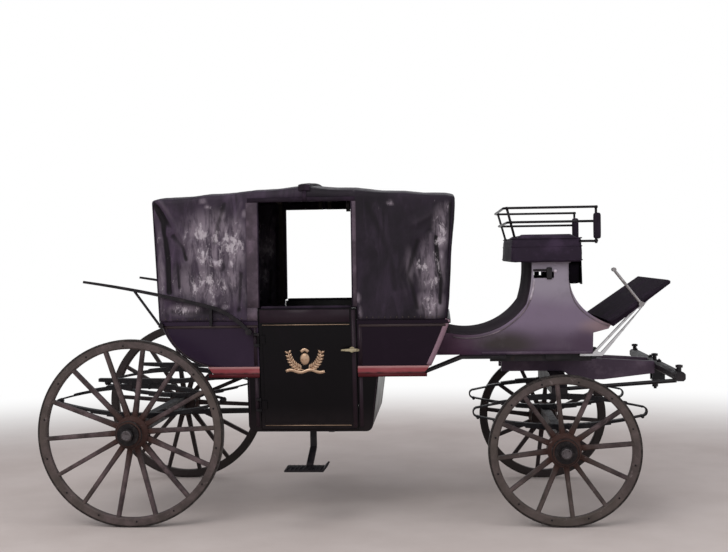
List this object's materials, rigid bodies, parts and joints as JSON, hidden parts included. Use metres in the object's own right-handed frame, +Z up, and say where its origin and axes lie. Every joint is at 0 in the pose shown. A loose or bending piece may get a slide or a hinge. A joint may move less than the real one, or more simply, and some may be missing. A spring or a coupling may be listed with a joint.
{
  "type": "horse drawn landau carriage",
  "caption": "Closed four-wheeled horse drawn landau with two raised leather hoods, dropped foot-well, side doors, driver's boot and seat, elliptic springs and a turning fore-carriage.",
  "frame": {"origin": "middle of the overall length and width at ground level", "axes": "+X forward towards the splinter bar, +Y to the carriage's left, +Z up"},
  "size_m": [3.8348, 1.708, 2.0659],
  "materials": {
    "tyre_iron": "worn iron",
    "wheel_paint": "weathered paint on wood",
    "hub_black": "satin",
    "body_black": "gloss coach paint",
    "sill_red": "faded paint",
    "black_leather": "worn satin",
    "bow_wood": "dark stain",
    "trim_cloth": "matt",
    "boot_paint": "faded paint",
    "brass": "dull",
    "pale_steel": "dull",
    "gear_wood": "black paint",
    "black_iron": "black paint"
  },
  "bodies": {
    "carriage_body": {"arm_pads": "black_leather", "body_front_quarter": "body_black", "body_rear_quarter": "body_black", "boot": "boot_paint", "brake_lever": "pale_steel", "cushions": "trim_cloth", "door_hinges": "black_iron", "driver_cushion": "black_leather", "driver_seat_box": "black_leather", "foot_well": "body_black", "footboard": "black_leather", "footboard_stays": "pale_steel", "front_hood": "black_leather", "head_levers": "black_iron", "head_props": "black_iron", "hood_bows": "bow_wood", "kingbolt": "black_iron", "rear_axle": "black_iron", "rear_body_irons": "black_iron", "rear_hood": "black_leather", "rear_springs_lower": "black_iron", "rear_springs_upper": "black_iron", "rear_stay": "black_iron", "roof_joint": "black_leather", "seat_fall": "black_leather", "seat_rails": "black_iron", "sill_irons": "black_iron", "sills": "sill_red", "squabs": "trim_cloth", "steps": "black_iron", "transom": "gear_wood", "upper_wheel_plate": "black_iron"},
    "rear_right_wheel_body": {"rear_right_tyre": "tyre_iron", "rear_right_wheel": "wheel_paint", "rear_right_hub_cap": "hub_black"},
    "rear_left_wheel_body": {"rear_left_tyre": "tyre_iron", "rear_left_wheel": "wheel_paint", "rear_left_hub_cap": "hub_black"},
    "front_right_wheel_body": {"front_right_tyre": "tyre_iron", "front_right_wheel": "wheel_paint", "front_right_hub_cap": "hub_black"},
    "front_left_wheel_body": {"front_left_tyre": "tyre_iron", "front_left_wheel": "wheel_paint", "front_left_hub_cap": "hub_black"},
    "fore_carriage": {"front_axle": "black_iron", "front_springs_upper": "black_iron", "front_springs_lower": "black_iron", "fore_bed": "gear_wood", "futchells": "gear_wood", "lower_wheel_plate": "black_iron", "splinter_bar": "gear_wood", "roller_bolts": "black_iron", "pole_socket": "black_iron", "splinter_stays": "black_iron"},
    "right_door_body": {"right_door": "body_black", "right_door_handle": "brass"},
    "left_door_body": {"left_door": "body_black", "left_door_handle": "brass"}
  },
  "joints": [
    {"name": "steering", "type": "hinge", "parent": "carriage_body", "child": "fore_carriage", "pos_m": [1.2055, 0, 0.85], "axis": [0, 0, 1], "range_deg": [-60, 60]},
    {"name": "rear_right_wheel_spin", "type": "hinge", "parent": "carriage_body", "child": "rear_right_wheel_body", "pos_m": [-1.3575, -0.75, 0.56], "axis": [0, 1, 0], "continuous": true},
    {"name": "rear_left_wheel_spin", "type": "hinge", "parent": "carriage_body", "child": "rear_left_wheel_body", "pos_m": [-1.3575, 0.75, 0.56], "axis": [0, 1, 0], "continuous": true},
    {"name": "front_right_wheel_spin", "type": "hinge", "parent": "fore_carriage", "child": "front_right_wheel_body", "pos_m": [1.2055, -0.735, 0.445], "axis": [0, 1, 0], "continuous": true},
    {"name": "front_left_wheel_spin", "type": "hinge", "parent": "fore_carriage", "child": "front_left_wheel_body", "pos_m": [1.2055, 0.735, 0.445], "axis": [0, 1, 0], "continuous": true},
    {"name": "right_door_hinge", "type": "hinge", "parent": "carriage_body", "child": "right_door_body", "pos_m": [-0.6055, -0.5861, 0.9], "axis": [0, 0.1163, -0.9932], "range_deg": [0, 85]},
    {"name": "left_door_hinge", "type": "hinge", "parent": "carriage_body", "child": "left_door_body", "pos_m": [-0.6055, 0.5861, 0.9], "axis": [0, 0.1163, 0.9932], "range_deg": [0, 85]}
  ]
}
